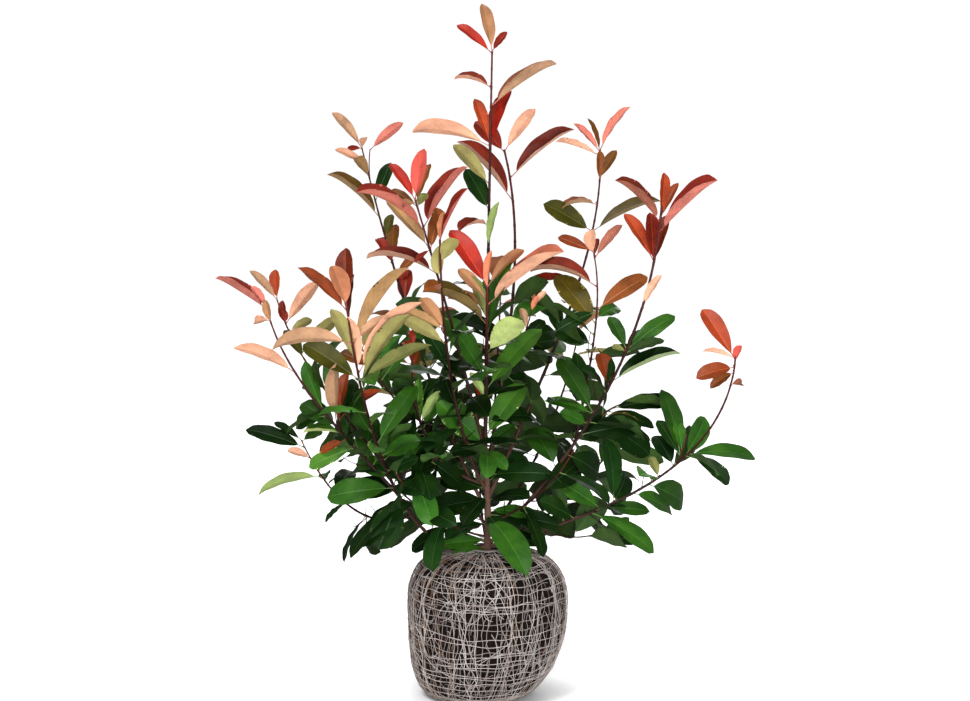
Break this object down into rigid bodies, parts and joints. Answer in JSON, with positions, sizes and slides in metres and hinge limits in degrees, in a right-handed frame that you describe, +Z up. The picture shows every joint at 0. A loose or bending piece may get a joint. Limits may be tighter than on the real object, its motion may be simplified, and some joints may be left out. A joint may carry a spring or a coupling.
{
  "type": "photinia shrub on a netted root ball",
  "caption": "Young evergreen shrub with red new leaves above green ones, open upright shoots from a short trunk, standing on a root ball wrapped in a net of fibre threads.",
  "frame": {"origin": "on the flat underside of the root ball, straight below the foot of the trunk", "axes": "+Z up, +X to the right and +Y to the back as the plant is seen from its front"},
  "size_m": [0.8798, 0.4792, 1.1354],
  "materials": {
    "soil": "matte",
    "net": "matte",
    "bark": "matte",
    "shoot": "satin",
    "leaf_red": "satin",
    "leaf_bronze": "satin",
    "leaf_green": "satin"
  },
  "bodies": {
    "root": {"bough_back": "bark", "bough_back_left": "bark", "bough_back_low": "bark", "bough_back_low_left": "bark", "bough_back_low_right": "bark", "bough_back_right": "bark", "bough_far_left": "bark", "bough_far_left_back": "bark", "bough_far_right": "bark", "bough_front_left": "bark", "bough_front_low_left": "bark", "bough_front_low_right": "bark", "bough_front_middle": "bark", "bough_left": "bark", "bough_left_inner": "bark", "bough_left_of_middle": "bark", "bough_low_left": "bark", "bough_right": "bark", "bough_right_inner": "bark", "bough_top": "bark", "bough_top_right": "bark", "bough_upper_left": "bark", "bough_upper_right": "bark", "bough_young_front": "bark", "foliage_back": "leaf_green", "foliage_back_left": "leaf_green", "foliage_back_low": "leaf_green", "foliage_back_low_left": "leaf_green", "foliage_back_low_right": "leaf_green", "foliage_back_right": "leaf_green", "foliage_centre_low": "leaf_green", "foliage_far_left": "leaf_red", "foliage_far_left_back": "leaf_bronze", "foliage_far_right": "leaf_green", "foliage_front_left": "leaf_red", "foliage_front_low_left": "leaf_green", "foliage_front_low_right": "leaf_green", "foliage_front_middle": "leaf_green", "foliage_left": "leaf_bronze", "foliage_left_inner": "leaf_bronze", "foliage_left_of_middle": "leaf_red", "foliage_low_left": "leaf_green", "foliage_low_right": "leaf_green", "foliage_right": "leaf_red", "foliage_right_inner": "leaf_bronze", "foliage_top": "leaf_red", "foliage_top_right": "leaf_red", "foliage_upper_left": "leaf_bronze", "foliage_upper_right": "leaf_red", "foliage_young_front": "leaf_red", "root_ball": "soil", "trunk": "bark"}
  },
  "joints": []
}
